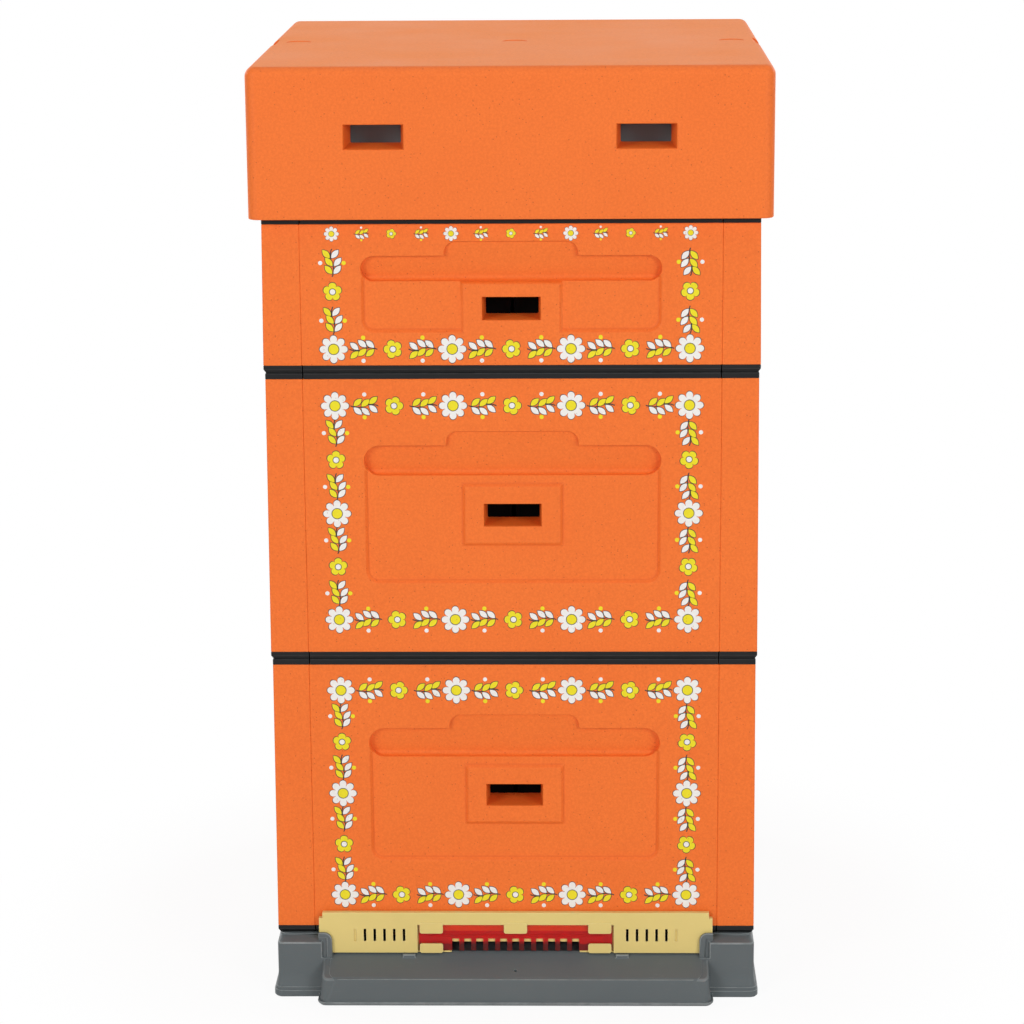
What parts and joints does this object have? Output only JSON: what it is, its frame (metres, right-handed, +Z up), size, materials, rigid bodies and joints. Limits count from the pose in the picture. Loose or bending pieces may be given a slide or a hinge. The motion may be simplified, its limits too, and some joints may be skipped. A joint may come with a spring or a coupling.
{
  "type": "beehive",
  "caption": "Stacked foam beehive with brood boxes, honey super, feeder under a deep roof, hanging frames, and a plastic floor with landing, entrance closure and drawer.",
  "frame": {"origin": "on the ground, under the middle of the whole outline", "axes": "+Z up, -Y towards the entrance and landing, +X to the right seen from the front"},
  "size_m": [0.554, 0.601, 1.035],
  "materials": {
    "foam_orange": "painted expanded foam, fine bead grain",
    "rail_black": "satin moulded plastic",
    "floor_grey": "satin moulded plastic",
    "grille_steel": "galvanised",
    "drawer_white": "satin moulded plastic",
    "closure_yellow": "satin moulded plastic",
    "gate_red": "translucent semi-gloss moulded plastic",
    "frame_wood": "planed softwood, uncoated",
    "wax_yellow": "embossed beeswax",
    "feeder_grey": "satin moulded plastic",
    "print_white": "ink printed on foam",
    "print_yellow": "ink printed on foam",
    "print_dark": "ink printed on foam",
    "cap_clear": "milky translucent plastic"
  },
  "bodies": {
    "floor": {"floor_shell": "floor_grey", "floor_grille": "grille_steel"},
    "drawer": {"varroa_drawer": "drawer_white"},
    "closure": {"entrance_closure": "closure_yellow"},
    "gate": {"entrance_gate": "gate_red"},
    "lower_brood": {"lower_brood_front_wall": "foam_orange", "lower_brood_back_wall": "foam_orange", "lower_brood_left_wall": "foam_orange", "lower_brood_right_wall": "foam_orange", "lower_brood_front_top_rail": "rail_black", "lower_brood_back_top_rail": "rail_black", "lower_brood_left_top_rail": "rail_black", "lower_brood_right_top_rail": "rail_black", "lower_brood_front_bottom_rail": "rail_black", "lower_brood_back_bottom_rail": "rail_black", "lower_brood_left_bottom_rail": "rail_black", "lower_brood_right_bottom_rail": "rail_black", "lower_brood_top_bars": "frame_wood", "lower_brood_end_bars": "rail_black", "lower_brood_bottom_bars": "frame_wood", "lower_brood_wax_sheets": "wax_yellow"},
    "upper_brood": {"upper_brood_front_wall": "foam_orange", "upper_brood_back_wall": "foam_orange", "upper_brood_left_wall": "foam_orange", "upper_brood_right_wall": "foam_orange", "upper_brood_front_top_rail": "rail_black", "upper_brood_back_top_rail": "rail_black", "upper_brood_left_top_rail": "rail_black", "upper_brood_right_top_rail": "rail_black", "upper_brood_front_bottom_rail": "rail_black", "upper_brood_back_bottom_rail": "rail_black", "upper_brood_left_bottom_rail": "rail_black", "upper_brood_right_bottom_rail": "rail_black", "upper_brood_top_bars": "frame_wood", "upper_brood_end_bars": "rail_black", "upper_brood_bottom_bars": "frame_wood", "upper_brood_wax_sheets": "wax_yellow"},
    "super": {"super_front_wall": "foam_orange", "super_back_wall": "foam_orange", "super_left_wall": "foam_orange", "super_right_wall": "foam_orange", "super_front_top_rail": "rail_black", "super_back_top_rail": "rail_black", "super_left_top_rail": "rail_black", "super_right_top_rail": "rail_black", "super_front_bottom_rail": "rail_black", "super_back_bottom_rail": "rail_black", "super_left_bottom_rail": "rail_black", "super_right_bottom_rail": "rail_black", "super_top_bars": "frame_wood", "super_end_bars": "rail_black", "super_bottom_bars": "frame_wood", "super_wax_sheets": "wax_yellow"},
    "feeder": {"feeder_pan": "feeder_grey", "feeder_cap": "cap_clear"},
    "roof": {"roof_shell": "foam_orange"}
  },
  "joints": [
    {"name": "drawer_slide", "type": "slide", "parent": "floor", "child": "drawer", "axis": [0, 1, 0], "range_m": [0, 0.42]},
    {"name": "closure_lift", "type": "slide", "parent": "floor", "child": "closure", "axis": [0, 0, 1], "range_m": [0, 0.06]},
    {"name": "gate_slide", "type": "slide", "parent": "closure", "child": "gate", "axis": [0, 0, 1], "range_m": [0, 0.01]},
    {"name": "lower_brood_lift", "type": "slide", "parent": "floor", "child": "lower_brood", "axis": [0, 0, 1], "range_m": [0, 0.15]},
    {"name": "upper_brood_lift", "type": "slide", "parent": "lower_brood", "child": "upper_brood", "axis": [0, 0, 1], "range_m": [0, 0.15]},
    {"name": "super_lift", "type": "slide", "parent": "upper_brood", "child": "super", "axis": [0, 0, 1], "range_m": [0, 0.15]},
    {"name": "feeder_lift", "type": "slide", "parent": "super", "child": "feeder", "axis": [0, 0, 1], "range_m": [0, 0.15]},
    {"name": "roof_lift", "type": "slide", "parent": "feeder", "child": "roof", "axis": [0, 0, 1], "range_m": [0, 0.15]}
  ]
}
